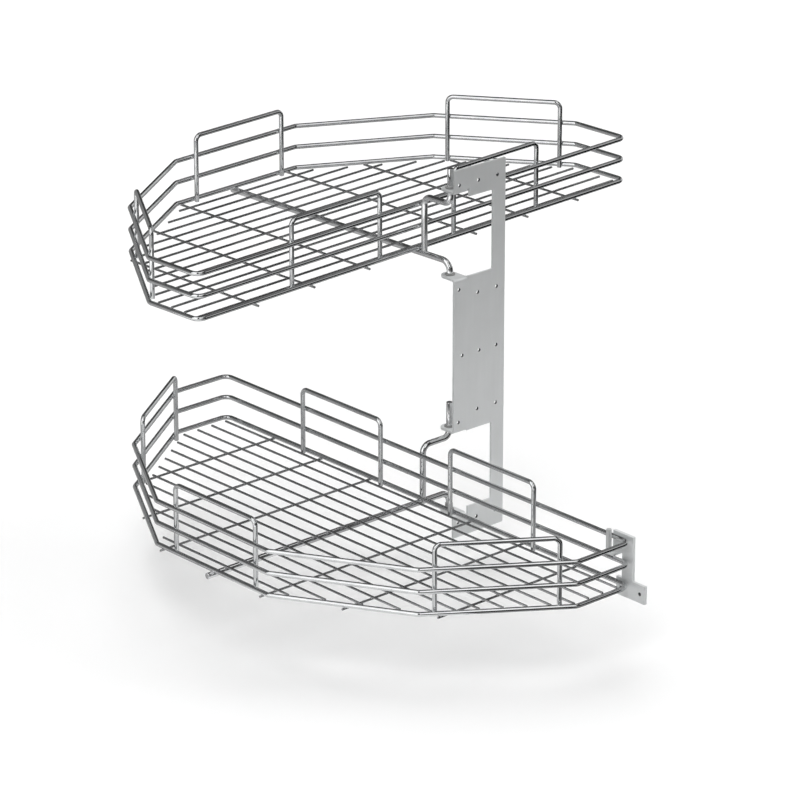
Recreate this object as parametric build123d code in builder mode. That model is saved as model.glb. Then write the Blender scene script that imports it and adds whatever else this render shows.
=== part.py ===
"""Swing-out corner shelf: a fixed mounting plate, two wire baskets that turn on it, a door bracket.

The frame has its origin on the front face of the mounting plate, level with the plate's middle and
in line with the hinge axis.  X runs right along the plate, Y into the cabinet, Z up.  The baskets
stand as in use: the upper one almost stowed, the lower one swung out by a quarter turn.
"""

import math
import os

from build123d import *

# Mounting plate, a bent and punched sheet
SHEET_T = 3.0
PLATE_WIDTH = 86.0
STRIP_WIDTH = 21.0
MID_HEIGHT = 206.0
TAB_HEIGHT = 38.0
PLATE_CORNER_R = 1.5
SHEET_BEND_R = 1.0
RELIEF_WIDTH = 3.0

# Ears that carry the hinge pins
PIVOT_OFFSET = 20.0
EAR_WIDTH = 22.0
EAR_GAP = 110.5
TAB_EAR_RECESS = 6.5

# Screw holes of the plate
PLATE_HOLE_D = 4.5
HOLE_LEFT = 8.0
HOLE_PITCH = 32.0
TAB_HOLE_ABOVE_EAR = 11.5
MID_HOLE_HEIGHT = 156.0
MID_LEFT_HOLE_HEIGHT = 177.2
CENTRE_ROW_LEFT = 14.0
CENTRE_ROW_PITCH = 29.0

# Hinge bushes in the ears
BUSH_OD = 10.0
BUSH_FIT = 0.02
BUSH_FLANGE_D = 13.0
BUSH_FLANGE_T = 1.2
BUSH_FLOOR = 2.0
PIN_CLEARANCE = 0.05
SEAT_CLEARANCE = 0.1
SEAT_ENGAGEMENT = 5.0

# Basket outline, on the centre line of its ring wires
RAIL_LENGTH = 750.0
END_DEPTH = 87.0
SLANT_HALF_WIDTH = 267.0
SLANT_DEPTH = 243.0
BACK_LENGTH = 210.0
BASKET_DEPTH = 338.0
RING_PITCH = 28.65
RING_BEND_R = 11.0

# Wires
RING_WIRE_D = 6.0
GUARD_WIRE_D = 6.0
ARM_WIRE_D = 8.0
FLOOR_WIRE_D = 3.0
WELD_GAP = 0.05

# Guards that stand above the rings
GUARD_RISE = 29.0
GUARD_BEND_R = 8.0
GUARD_FOOT = 2.5
RAIL_GUARD_WIDTH = 150.0
RAIL_GUARD_SPACING = 280.0
SLANT_GUARD_INSET = 20.0
BACK_GUARD_INSET = 30.0

# Wire floor
FLOOR_PITCH = 23.6
FLOOR_CLEARANCE = 0.4
CROSS_PITCH = 94.0
CROSS_END_MARGIN = 60.0
CROSS_FRONT = 6.0
CROSS_BACK = 4.5

# Arms that join a basket to its two pins
PIVOT_TO_RAIL = 52.0
SUPPORT_BEND_R = 13.0
SUPPORT_PIN_DROP = 20.0
SUPPORT_OVERHANG = 8.0
HINGE_BEND_R = 10.0
HINGE_ELBOW_R = 11.0
HINGE_PIN_LENGTH = 46.7
HINGE_EAR_CLEARANCE = 1.05
PIN_CHAMFER = 0.4

# How the two baskets hang on the plate
UPPER_SEAT_RISE = 16.2
LOWER_SEAT_RISE = 23.8
UPPER_SWING = 2.7
LOWER_SWING = 90.0

# Door bracket, which slides along the straight side of the lower rim
BRACKET_T = 4.5
RAIL_CLEARANCE = 0.5
GUIDE_PIN_D = 7.0
GUIDE_PIN_TOP = 10.7
GUIDE_STEM_D = 4.0
GUIDE_HEAD_D = 7.0
GUIDE_HEAD_T = 1.2
GUIDE_FROM_END = 28.3
FLAG_TOP = 5.8
FLAG_DROP = 15.5
GUIDE_TAB_MARGIN = 0.5
COLUMN_WIDTH = 18.0
COLUMN_PAST_END = 2.0
FOOT_LENGTH = 48.0
FOOT_HEIGHT = 23.5
FOOT_PAST_COLUMN = 21.0
FOOT_DROP = 52.0
FOOT_HOLE_D = 4.5
FOOT_HOLE_PITCH = 32.0
BRACKET_CORNER_R = 1.5
BRACKET_FILLET = 3.0

# Sizes that follow from the ones above
PLATE_LEFT = -EAR_WIDTH / 2
PLATE_RIGHT = PLATE_LEFT + PLATE_WIDTH
MID_TOP = MID_HEIGHT / 2
TAB_EAR_Z = MID_TOP + EAR_GAP
TAB_BOTTOM = TAB_EAR_Z - TAB_EAR_RECESS
PLATE_TOP = TAB_BOTTOM + TAB_HEIGHT
TAB_HOLE_Z = TAB_EAR_Z + TAB_HOLE_ABOVE_EAR
OUTER_BEND_R = SHEET_BEND_R + SHEET_T
PIN_BORE_D = ARM_WIRE_D + 2 * PIN_CLEARANCE

RAIL_HALF = RAIL_LENGTH / 2
BASE_RING_Z = -2 * RING_PITCH
WELD_PLANE_Z = BASE_RING_Z - RING_WIRE_D / 2
FLOOR_Z = WELD_PLANE_Z + FLOOR_WIRE_D / 2
CROSS_Z = WELD_PLANE_Z - WELD_GAP - FLOOR_WIRE_D / 2
ARM_Z = WELD_PLANE_Z - WELD_GAP - ARM_WIRE_D / 2
HINGE_ARM_Z = ARM_Z + EAR_GAP - LOWER_SEAT_RISE - HINGE_BEND_R - HINGE_EAR_CLEARANCE
STRUT_OFFSET = (RING_WIRE_D + ARM_WIRE_D) / 2 + WELD_GAP
GUARD_OFFSET = (RING_WIRE_D + GUARD_WIRE_D) / 2 + WELD_GAP
FLOOR_EDGE_GAP = RING_WIRE_D / 2 + WELD_GAP + GUARD_WIRE_D + FLOOR_CLEARANCE

CORNERS = [
    (-RAIL_HALF, 0.0),
    (-RAIL_HALF, END_DEPTH),
    (-SLANT_HALF_WIDTH, SLANT_DEPTH),
    (-BACK_LENGTH / 2, BASKET_DEPTH),
    (BACK_LENGTH / 2, BASKET_DEPTH),
    (SLANT_HALF_WIDTH, SLANT_DEPTH),
    (RAIL_HALF, END_DEPTH),
    (RAIL_HALF, 0.0),
]


def half_width(depth: float, inset: float) -> float:
    """Half width of the basket at a depth behind the rail, inset square to the outline."""
    widths = []
    for (x1, y1), (x2, y2) in zip(CORNERS[4:7], CORNERS[5:8]):
        length = math.hypot(x2 - x1, y2 - y1)
        across = (y1 - y2) / length
        along = (x2 - x1) / length
        widths.append(x1 + ((y1 - depth) * along - inset) / across)
    return min(widths)


def edge_depth(offset: float) -> float:
    """Depth of the outline's far side at a distance sideways from the basket's middle."""
    depths = [BASKET_DEPTH]
    for (x1, y1), (x2, y2) in zip(CORNERS[4:6], CORNERS[5:7]):
        depths.append(y1 + (offset - x1) * (y2 - y1) / (x2 - x1))
    return min(depths)


def guard_plane(home: Plane, start: int) -> tuple:
    """Upright plane just inside one side of the outline, and the length of that side."""
    first = home.from_local_coords(Vector(*CORNERS[start]) + Vector(0, PIVOT_TO_RAIL))
    end = (start + 1) % len(CORNERS)
    last = home.from_local_coords(Vector(*CORNERS[end]) + Vector(0, PIVOT_TO_RAIL))
    run = last - first
    inward = run.normalized().cross(home.z_dir)
    middle = (first + last) * 0.5 + inward * GUARD_OFFSET
    return Plane(middle, x_dir=run, z_dir=inward), run.length


def make_ring(name: str, home: Plane, height: float) -> None:
    """One closed ring wire of a basket at a height from its rim."""
    points = [(x, y + PIVOT_TO_RAIL) for x, y in CORNERS]
    with BuildPart() as ring:
        with BuildLine(home.offset(height)) as path:
            FilletPolyline(*points, radius=RING_BEND_R, close=True)
        with BuildSketch(Plane(path.line @ 0, z_dir=path.line % 0)):
            Circle(RING_WIRE_D / 2)
        sweep(path=path.line)
    ring.part.label = name
    export_step(ring.part, f"parts/{name}.step")


def make_guard(name: str, upright: Plane, shift: float, width: float) -> None:
    """One raised guard, a wire hoop whose two legs stand against the inside of the rings."""
    foot = BASE_RING_Z - GUARD_FOOT
    left = shift - width / 2
    right = shift + width / 2
    with BuildPart() as guard:
        with BuildLine(upright) as path:
            FilletPolyline(
                (left, foot),
                (left, GUARD_RISE),
                (right, GUARD_RISE),
                (right, foot),
                radius=[GUARD_BEND_R, GUARD_BEND_R],
            )
        with BuildSketch(Plane(path.line @ 0, z_dir=path.line % 0)):
            Circle(GUARD_WIRE_D / 2)
        sweep(path=path.line)
    guard.part.label = name
    export_step(guard.part, f"parts/{name}.step")


def make_floor(prefix: str, side: Plane) -> None:
    """The thin floor wires along the basket and the cross wires that they lie on."""
    first = FLOOR_EDGE_GAP + FLOOR_WIRE_D / 2
    count = int((BASKET_DEPTH - 2 * first) // FLOOR_PITCH) + 1
    with BuildPart() as floor_wires:
        for index in range(count):
            depth = first + index * FLOOR_PITCH
            ends = [
                half_width(depth - FLOOR_WIRE_D / 2, FLOOR_EDGE_GAP),
                half_width(depth + FLOOR_WIRE_D / 2, FLOOR_EDGE_GAP),
            ]
            with BuildSketch(side):
                with Locations((PIVOT_TO_RAIL + depth, FLOOR_Z)):
                    Circle(FLOOR_WIRE_D / 2)
            extrude(amount=min(ends), both=True)
    floor_wires.part.label = f"{prefix}_floor_wires"
    export_step(floor_wires.part, f"parts/{prefix}_floor_wires.step")

    each_side = int((RAIL_HALF - CROSS_END_MARGIN) // CROSS_PITCH)
    with BuildPart() as cross_wires:
        for index in range(1, each_side + 1):
            offset = index * CROSS_PITCH
            front = Plane(side.from_local_coords((PIVOT_TO_RAIL - CROSS_FRONT, CROSS_Z)),
                          x_dir=side.z_dir, z_dir=side.x_dir)
            with BuildSketch(front):
                with Locations((-offset, 0), (offset, 0)):
                    Circle(FLOOR_WIRE_D / 2)
            extrude(amount=CROSS_FRONT + edge_depth(offset) + CROSS_BACK)
    cross_wires.part.label = f"{prefix}_cross_wires"
    export_step(cross_wires.part, f"parts/{prefix}_cross_wires.step")


def make_arms(prefix: str, side: Plane) -> None:
    """The support arm under the basket and the hinge arm outside its rings, each with a pin."""
    with BuildPart() as support_arm:
        with BuildLine(side) as path:
            FilletPolyline(
                (PIVOT_TO_RAIL + BASKET_DEPTH + SUPPORT_OVERHANG, ARM_Z),
                (0, ARM_Z),
                (0, ARM_Z - SUPPORT_PIN_DROP),
                radius=[SUPPORT_BEND_R],
            )
        with BuildSketch(Plane(path.line @ 0, z_dir=path.line % 0)):
            Circle(ARM_WIRE_D / 2)
        sweep(path=path.line)
        chamfer(support_arm.edges().group_by(Axis.Z)[0], PIN_CHAMFER)
    support_arm.part.label = f"{prefix}_support_arm"
    export_step(support_arm.part, f"parts/{prefix}_support_arm.step")

    strut = PIVOT_TO_RAIL - STRUT_OFFSET
    with BuildPart() as hinge_arm:
        with BuildLine(side) as path:
            FilletPolyline(
                (strut, WELD_PLANE_Z),
                (strut, HINGE_ARM_Z),
                (0, HINGE_ARM_Z),
                (0, HINGE_ARM_Z + HINGE_PIN_LENGTH),
                radius=[HINGE_ELBOW_R, HINGE_BEND_R],
            )
        with BuildSketch(Plane(path.line @ 0, z_dir=path.line % 0)):
            Circle(ARM_WIRE_D / 2)
        sweep(path=path.line)
        chamfer(hinge_arm.edges().group_by(Axis.Z)[-1], PIN_CHAMFER)
    hinge_arm.part.label = f"{prefix}_hinge_arm"
    export_step(hinge_arm.part, f"parts/{prefix}_hinge_arm.step")


def make_basket(prefix: str, home: Plane) -> None:
    """All wires of one basket; home has its origin on the hinge axis, level with the rim."""
    side = Plane(home.origin, x_dir=home.y_dir, z_dir=home.x_dir)
    make_ring(f"{prefix}_rim_wire", home, 0.0)
    make_ring(f"{prefix}_middle_wire", home, -RING_PITCH)
    make_ring(f"{prefix}_base_wire", home, BASE_RING_Z)
    make_floor(prefix, side)
    make_arms(prefix, side)
    upright, _ = guard_plane(home, 7)
    make_guard(f"{prefix}_guard_rail_right", upright, -RAIL_GUARD_SPACING / 2, RAIL_GUARD_WIDTH)
    make_guard(f"{prefix}_guard_rail_left", upright, RAIL_GUARD_SPACING / 2, RAIL_GUARD_WIDTH)
    upright, length = guard_plane(home, 1)
    make_guard(f"{prefix}_guard_slant_left", upright, 0.0, length - 2 * SLANT_GUARD_INSET)
    upright, length = guard_plane(home, 3)
    make_guard(f"{prefix}_guard_back", upright, 0.0, length - 2 * BACK_GUARD_INSET)
    upright, length = guard_plane(home, 5)
    make_guard(f"{prefix}_guard_slant_right", upright, 0.0, length - 2 * SLANT_GUARD_INSET)


def make_seat_bush(name: str, ear_top: float, seat_rise: float) -> None:
    """Closed flanged bush in a lower ear, whose cup carries the end of a support arm's pin."""
    pin_end = ear_top + seat_rise - SUPPORT_PIN_DROP
    bore_end = pin_end - SEAT_CLEARANCE
    bottom = min(ear_top - SHEET_T, bore_end - BUSH_FLOOR)
    cup_top = max(ear_top + BUSH_FLANGE_T, pin_end + SEAT_ENGAGEMENT)
    with BuildPart() as bush:
        with BuildSketch(PIVOT_SECTION):
            with BuildLine():
                Polyline(
                    (0, bottom),
                    (BUSH_OD / 2, bottom),
                    (BUSH_OD / 2, cup_top),
                    (PIN_BORE_D / 2, cup_top),
                    (PIN_BORE_D / 2, bore_end),
                    (0, bore_end),
                    close=True,
                )
            make_face()
            with Locations((BUSH_OD / 2, ear_top)):
                Rectangle(
                    (BUSH_FLANGE_D - BUSH_OD) / 2,
                    BUSH_FLANGE_T,
                    align=(Align.MIN, Align.MIN),
                )
        revolve(axis=PIVOT_AXIS)
    bush.part.label = name
    export_step(bush.part, f"parts/{name}.step")


def make_hinge_bush(name: str, ear_bottom: float) -> None:
    """Open flanged bush in an upper ear, in which a hinge arm's pin turns."""
    ear_top = ear_bottom + SHEET_T
    with BuildPart() as bush:
        with BuildSketch(PIVOT_SECTION):
            with BuildLine():
                Polyline(
                    (PIN_BORE_D / 2, ear_bottom),
                    (BUSH_OD / 2, ear_bottom),
                    (BUSH_OD / 2, ear_top),
                    (BUSH_FLANGE_D / 2, ear_top),
                    (BUSH_FLANGE_D / 2, ear_top + BUSH_FLANGE_T),
                    (PIN_BORE_D / 2, ear_top + BUSH_FLANGE_T),
                    close=True,
                )
            make_face()
        revolve(axis=PIVOT_AXIS)
    bush.part.label = name
    export_step(bush.part, f"parts/{name}.step")


def basket_home(ear_top: float, seat_rise: float, swing: float) -> Plane:
    """Frame of one basket: on the hinge axis, level with its rim, x along its straight side."""
    turn = math.radians(swing)
    return Plane(
        (0, PIVOT_OFFSET, ear_top + seat_rise - ARM_Z),
        x_dir=(math.cos(turn), math.sin(turn), 0),
        z_dir=(0, 0, 1),
    )


os.makedirs("parts", exist_ok=True)

PIVOT_AXIS = Axis((0, PIVOT_OFFSET, 0), (0, 0, 1))
PIVOT_SECTION = Plane((0, PIVOT_OFFSET, 0), x_dir=(1, 0, 0), z_dir=(0, -1, 0))

# Mounting plate
strip_left = PLATE_RIGHT - STRIP_WIDTH
tab_holes = [PLATE_LEFT + HOLE_LEFT + step * HOLE_PITCH for step in range(3)]
screw_points = [(x, z) for x in tab_holes for z in (TAB_HOLE_Z, -TAB_HOLE_Z)]
screw_points += [(x, z * MID_HOLE_HEIGHT / 2) for x in tab_holes[1:] for z in (1, -1)]
screw_points += [(tab_holes[0], z * MID_LEFT_HOLE_HEIGHT / 2) for z in (1, -1)]
screw_points += [
    (PLATE_LEFT + CENTRE_ROW_LEFT + step * CENTRE_ROW_PITCH, 0) for step in range(3)
]

with BuildPart() as mounting_plate:
    with BuildSketch(Plane.XZ) as outline:
        with BuildLine():
            Polyline(
                (PLATE_LEFT, PLATE_TOP),
                (PLATE_RIGHT, PLATE_TOP),
                (PLATE_RIGHT, -PLATE_TOP),
                (PLATE_LEFT, -PLATE_TOP),
                (PLATE_LEFT, -TAB_BOTTOM),
                (strip_left, -TAB_BOTTOM),
                (strip_left, -MID_TOP),
                (PLATE_LEFT, -MID_TOP),
                (PLATE_LEFT, MID_TOP),
                (strip_left, MID_TOP),
                (strip_left, TAB_BOTTOM),
                (PLATE_LEFT, TAB_BOTTOM),
                close=True,
            )
        make_face()
        fillet(outline.vertices(), PLATE_CORNER_R)
        with Locations(*screw_points):
            Circle(PLATE_HOLE_D / 2, mode=Mode.SUBTRACT)
        with Locations((PLATE_LEFT, MID_TOP - OUTER_BEND_R)):
            Rectangle(EAR_WIDTH, OUTER_BEND_R, align=(Align.MIN, Align.MIN), mode=Mode.SUBTRACT)
        with Locations((PLATE_LEFT, -MID_TOP)):
            Rectangle(EAR_WIDTH, OUTER_BEND_R, align=(Align.MIN, Align.MIN), mode=Mode.SUBTRACT)
        with Locations((PLATE_LEFT, TAB_BOTTOM), (PLATE_LEFT, -TAB_EAR_Z - OUTER_BEND_R)):
            Rectangle(
                EAR_WIDTH + RELIEF_WIDTH,
                TAB_EAR_RECESS + OUTER_BEND_R,
                align=(Align.MIN, Align.MIN),
                mode=Mode.SUBTRACT,
            )
    extrude(amount=-SHEET_T)
    for level, down in ((MID_TOP, 1), (-MID_TOP, -1), (TAB_EAR_Z, -1), (-TAB_EAR_Z, 1)):
        with BuildSketch(Plane.YZ.offset(PLATE_LEFT)) as bend:
            with BuildLine():
                Polyline(
                    (0, level - down * 2 * OUTER_BEND_R),
                    (0, level),
                    (PIVOT_OFFSET, level),
                    (PIVOT_OFFSET, level - down * SHEET_T),
                    (SHEET_T, level - down * SHEET_T),
                    (SHEET_T, level - down * 2 * OUTER_BEND_R),
                    close=True,
                )
            make_face()
            outer = bend.vertices().sort_by_distance((0, level))[0]
            fillet(outer, OUTER_BEND_R)
            inner = bend.vertices().sort_by_distance((SHEET_T, level - down * SHEET_T))[0]
            fillet(inner, SHEET_BEND_R)
        extrude(amount=EAR_WIDTH)
        with BuildSketch(Plane.XY.offset(level)):
            with Locations((0, PIVOT_OFFSET)):
                Circle(EAR_WIDTH / 2)
        extrude(amount=-down * SHEET_T)
        with BuildSketch(Plane.XY.offset(level)):
            with Locations((0, PIVOT_OFFSET)):
                Circle(BUSH_OD / 2 + BUSH_FIT)
        extrude(amount=-down * SHEET_T, mode=Mode.SUBTRACT)
mounting_plate.part.label = "mounting_plate"
export_step(mounting_plate.part, "parts/mounting_plate.step")

make_seat_bush("upper_seat_bush", MID_TOP, UPPER_SEAT_RISE)
make_hinge_bush("upper_hinge_bush", TAB_EAR_Z)
make_seat_bush("lower_seat_bush", -TAB_EAR_Z, LOWER_SEAT_RISE)
make_hinge_bush("lower_hinge_bush", -MID_TOP)

upper_home = basket_home(MID_TOP, UPPER_SEAT_RISE, UPPER_SWING)
lower_home = basket_home(-TAB_EAR_Z, LOWER_SEAT_RISE, LOWER_SWING)
make_basket("upper", upper_home)
make_basket("lower", lower_home)

# Door bracket and its guide pin, on the lower basket's straight side
inner_face = PIVOT_TO_RAIL - RING_WIRE_D / 2 - RAIL_CLEARANCE
guide_x = GUIDE_FROM_END - RAIL_HALF
guide_y = PIVOT_TO_RAIL + RING_WIRE_D / 2 + RAIL_CLEARANCE + GUIDE_PIN_D / 2
flag_end = guide_x + GUIDE_PIN_D / 2
flag_bottom = -FLAG_DROP - BRACKET_T
column_outer = -RAIL_HALF - COLUMN_PAST_END
column_inner = column_outer + COLUMN_WIDTH
foot_outer = column_outer - FOOT_PAST_COLUMN
foot_middle = (foot_outer + FOOT_LENGTH / 2, -FOOT_DROP - FOOT_HEIGHT / 2)
tab_end = guide_y + GUIDE_PIN_D / 2 + GUIDE_TAB_MARGIN
bracket_face = Plane(
    lower_home.from_local_coords((0, inner_face, 0)),
    x_dir=lower_home.x_dir,
    z_dir=-lower_home.y_dir,
)

with BuildPart() as door_bracket:
    with BuildSketch(bracket_face) as profile:
        with BuildLine():
            Polyline(
                (column_outer, FLAG_TOP),
                (flag_end, FLAG_TOP),
                (flag_end, flag_bottom),
                (column_inner, flag_bottom),
                (column_inner, -FOOT_DROP),
                (foot_outer + FOOT_LENGTH, -FOOT_DROP),
                (foot_outer + FOOT_LENGTH, -FOOT_DROP - FOOT_HEIGHT),
                (foot_outer, -FOOT_DROP - FOOT_HEIGHT),
                (foot_outer, -FOOT_DROP),
                (column_outer, -FOOT_DROP),
                close=True,
            )
        make_face()
        roots = [
            profile.vertices().sort_by_distance(lower_home.from_local_coords(point))[0]
            for point in (
                (column_inner, inner_face, -FOOT_DROP),
                (column_outer, inner_face, -FOOT_DROP),
            )
        ]
        fillet(roots, BRACKET_FILLET)
        with Locations(foot_middle):
            with GridLocations(FOOT_HOLE_PITCH, 0, 2, 1):
                Circle(FOOT_HOLE_D / 2, mode=Mode.SUBTRACT)
    extrude(amount=BRACKET_T)
    with BuildSketch(lower_home.offset(flag_bottom)):
        with Locations((column_inner, inner_face - BRACKET_T)):
            Rectangle(
                flag_end - column_inner,
                tab_end - inner_face + BRACKET_T,
                align=(Align.MIN, Align.MIN),
            )
    extrude(amount=BRACKET_T)
    with BuildSketch(lower_home.offset(flag_bottom)):
        with Locations((guide_x, guide_y)):
            Circle(GUIDE_STEM_D / 2 + BUSH_FIT)
    extrude(amount=BRACKET_T, mode=Mode.SUBTRACT)
door_bracket.part.label = "door_bracket"
export_step(door_bracket.part, "parts/door_bracket.step")

guide_section = Plane(
    lower_home.from_local_coords((guide_x, guide_y, 0)),
    x_dir=lower_home.x_dir,
    z_dir=-lower_home.y_dir,
)
with BuildPart() as guide_pin:
    with BuildSketch(guide_section):
        with BuildLine():
            Polyline(
                (0, flag_bottom - GUIDE_HEAD_T),
                (GUIDE_HEAD_D / 2, flag_bottom - GUIDE_HEAD_T),
                (GUIDE_HEAD_D / 2, flag_bottom),
                (GUIDE_STEM_D / 2, flag_bottom),
                (GUIDE_STEM_D / 2, -FLAG_DROP),
                (GUIDE_PIN_D / 2, -FLAG_DROP),
                (GUIDE_PIN_D / 2, GUIDE_PIN_TOP - PIN_CHAMFER),
                (GUIDE_PIN_D / 2 - PIN_CHAMFER, GUIDE_PIN_TOP),
                (0, GUIDE_PIN_TOP),
                close=True,
            )
        make_face()
    revolve(axis=Axis(guide_section.origin, (0, 0, 1)))
guide_pin.part.label = "guide_pin"
export_step(guide_pin.part, "parts/guide_pin.step")
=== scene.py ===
"""Looks of a swing-out corner shelf: two chromed wire baskets on a grey mounting plate."""

import logging
import math
from dataclasses import dataclass, field
from enum import Enum, IntEnum

import bmesh
import bpy
import numpy as np
from mathutils import Matrix


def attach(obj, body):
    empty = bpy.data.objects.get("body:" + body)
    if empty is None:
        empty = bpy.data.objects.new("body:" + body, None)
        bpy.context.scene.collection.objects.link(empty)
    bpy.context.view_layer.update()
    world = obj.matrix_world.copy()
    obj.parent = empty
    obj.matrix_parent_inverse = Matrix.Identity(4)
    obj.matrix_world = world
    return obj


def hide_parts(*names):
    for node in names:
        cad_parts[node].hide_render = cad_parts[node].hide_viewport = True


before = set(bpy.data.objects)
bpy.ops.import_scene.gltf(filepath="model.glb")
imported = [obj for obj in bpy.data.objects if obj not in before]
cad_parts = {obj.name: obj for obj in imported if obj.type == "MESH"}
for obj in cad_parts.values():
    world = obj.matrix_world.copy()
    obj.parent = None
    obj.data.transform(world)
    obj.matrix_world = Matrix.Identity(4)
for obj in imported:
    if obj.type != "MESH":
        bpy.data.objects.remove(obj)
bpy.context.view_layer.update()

LOG = logging.getLogger("corner_shelf")
MM = 0.001
MERGE = 0.001 * MM

Colour = tuple[float, float, float, float]
Span = tuple[float, float]
Corner = tuple[float, float, float]
Surface = tuple[np.ndarray, np.ndarray]
Socket = bpy.types.NodeSocket
Shader = bpy.types.ShaderNodeBsdfPrincipled
Material = bpy.types.Material
Owner = Material | bpy.types.World

WHITE: Colour = (1.0, 1.0, 1.0, 1.0)
BLACK: Colour = (0.0, 0.0, 0.0, 1.0)


class Body(Enum):
    """The moving groups of the shelf, by the names of their bodies."""

    MOUNTING = "mounting"
    UPPER = "upper_basket"
    LOWER = "lower_basket"
    SLIDER = "door_slider"


class Slot(Enum):
    """Names of material slots in the record; no piece in this script takes its finish from them."""

    WIRE = "chrome_wire"
    PLATE = "plate_steel"


class Side(IntEnum):
    """Sides of a basket's outline that carry guards, by the number of their first corner."""

    SLANT_LEFT = 1
    BACK = 3
    SLANT_RIGHT = 5
    RAIL = 7


class Axis(IntEnum):
    """Axes that screw holes run along, by their number in a row of coordinates."""

    X = 0
    Y = 1


# Meshes


def close_doubles(mesh: bpy.types.Mesh, flat_angle: float | None = None) -> None:
    """Merge points that coincide, which closes poles and seams.

    Args:
        mesh: mesh to mend.
        flat_angle: where given, faces that meet at less than this angle in radians are joined.
    """
    work = bmesh.new()
    work.from_mesh(mesh)
    bmesh.ops.remove_doubles(work, verts=work.verts, dist=MERGE)
    if flat_angle is not None:
        bmesh.ops.dissolve_limit(work, angle_limit=flat_angle, verts=work.verts, edges=work.edges)
    work.to_mesh(mesh)
    work.free()
    mesh.update()


def grid_quads(rows: int, columns: int, loop_rows: bool = False, loop_columns: bool = False) -> np.ndarray:
    """Number the faces of a grid of points that is stored row by row.

    A face has the corners (i, j), (i, j + 1), (i + 1, j + 1) and (i + 1, j).  In a direction that
    loops, the last row or column is joined to the first.

    Args:
        rows: rows of points.
        columns: points in each row.
        loop_rows: join the last row to the first.
        loop_columns: join the last column to the first.

    Returns:
        Four point numbers per face.
    """
    row = np.arange(rows if loop_rows else rows - 1)[:, None]
    column = np.arange(columns if loop_columns else columns - 1)[None, :]
    here = row * columns
    below = (row + 1) % rows * columns
    beside = (column + 1) % columns
    corners = [here + column, here + beside, below + beside, below + column]
    return np.stack(corners, axis=-1).reshape(-1, 4)


def link_object(name: str, mesh: bpy.types.Mesh) -> bpy.types.Object:
    """Put a mesh into the scene as a new object at the origin, and give the object."""
    piece = bpy.data.objects.new(name, mesh)
    bpy.context.scene.collection.objects.link(piece)
    return piece


def add_mesh(name: str, points: np.ndarray, quads: np.ndarray, smooth: bool = True) -> bpy.types.Object:
    """Put arrays of points and four-cornered faces into a new object at the origin.

    Args:
        name: name of the piece.
        points: corner places in metres, one row each.
        quads: four point numbers per face, seen anticlockwise from outside.
        smooth: shade the faces as one rounded surface.

    Returns:
        The object, linked to the scene.
    """
    mesh = bpy.data.meshes.new(name)
    mesh.vertices.add(len(points))
    mesh.vertices.foreach_set("co", points.astype(np.float32).ravel())
    mesh.loops.add(quads.size)
    mesh.loops.foreach_set("vertex_index", quads.astype(np.int32).ravel())
    mesh.polygons.add(len(quads))
    mesh.polygons.foreach_set("loop_start", np.arange(0, quads.size, quads.shape[1], dtype=np.int32))
    mesh.polygons.foreach_set("use_smooth", np.full(len(quads), smooth))
    mesh.update(calc_edges=True)
    close_doubles(mesh)
    return link_object(name, mesh)


def join_surfaces(surfaces: list[Surface]) -> Surface:
    """Stack several surfaces into one pair of arrays.

    Args:
        surfaces: pairs of points and quads.

    Returns:
        All points, and all quads numbered through the stack.
    """
    starts = np.cumsum([0] + [len(points) for points, _ in surfaces[:-1]])
    points = np.concatenate([points for points, _ in surfaces])
    quads = np.concatenate([quads + start for (_, quads), start in zip(surfaces, starts)])
    return points, quads


@dataclass(frozen=True)
class Place:
    """A flat frame of a basket: where its axis stands, its rim's height, and its turn in degrees."""

    pivot_y: float
    rim_z: float
    swing: float

    def point(self, local: np.ndarray) -> np.ndarray:
        """Turn local points (along the rail, away from the axis, up) about the axis.

        Args:
            local: points in metres, one row each.

        Returns:
            The points in the shelf's frame.
        """
        turn = math.radians(self.swing)
        x = local[:, 0] * math.cos(turn) - local[:, 1] * math.sin(turn)
        y = local[:, 0] * math.sin(turn) + local[:, 1] * math.cos(turn) + self.pivot_y
        return np.stack([x, y, local[:, 2] + self.rim_z], axis=1)


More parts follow.
